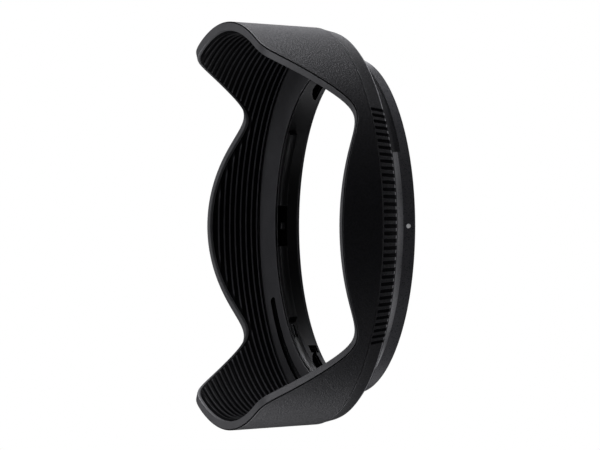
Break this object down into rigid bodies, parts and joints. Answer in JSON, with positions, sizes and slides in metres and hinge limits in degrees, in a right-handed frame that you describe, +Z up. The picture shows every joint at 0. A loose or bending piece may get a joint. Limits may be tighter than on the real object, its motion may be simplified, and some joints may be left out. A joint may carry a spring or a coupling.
{
  "type": "lens hood",
  "caption": "Petal lens hood with a bayonet mount, knurled grips, a ribbed inside against stray light and springy click arms.",
  "frame": {"origin": "on the optical axis, in the plane of the mount ring's rear face", "axes": "+Y along the optical axis toward the camera, petals toward -Y, +Z up through the top petal, +X toward the side with the index dot"},
  "size_m": [0.0928, 0.0316, 0.094],
  "materials": {
    "textured_paint": "fine textured matte black paint",
    "flat_black": "flat black against reflections",
    "grip_plastic": "matte black with moulded knurling",
    "ring_plastic": "satin black",
    "inner_plastic": "satin black moulded plastic",
    "index_paint": "matte white"
  },
  "bodies": {
    "hood": {"outer_shell": "textured_paint", "light_trap_liner": "flat_black", "throat_baffle": "flat_black", "grip_body": "grip_plastic", "mount_ring": "ring_plastic", "bayonet_ring": "inner_plastic", "index_dot": "index_paint"},
    "click_arm_right": {"click_arm_right": "inner_plastic"},
    "click_arm_left": {"click_arm_left": "inner_plastic"}
  },
  "joints": [
    {"name": "click_right", "type": "hinge", "parent": "hood", "child": "click_arm_right", "pos_m": [0.00893, -0.00495, 0.0358], "axis": [0, -1, 0], "range_deg": [0, 1.15], "stiffness_Nm_per_rad": 1.5},
    {"name": "click_left", "type": "hinge", "parent": "hood", "child": "click_arm_left", "pos_m": [-0.00893, -0.00495, -0.0358], "axis": [0, -1, 0], "range_deg": [0, 1.15], "stiffness_Nm_per_rad": 1.5}
  ]
}
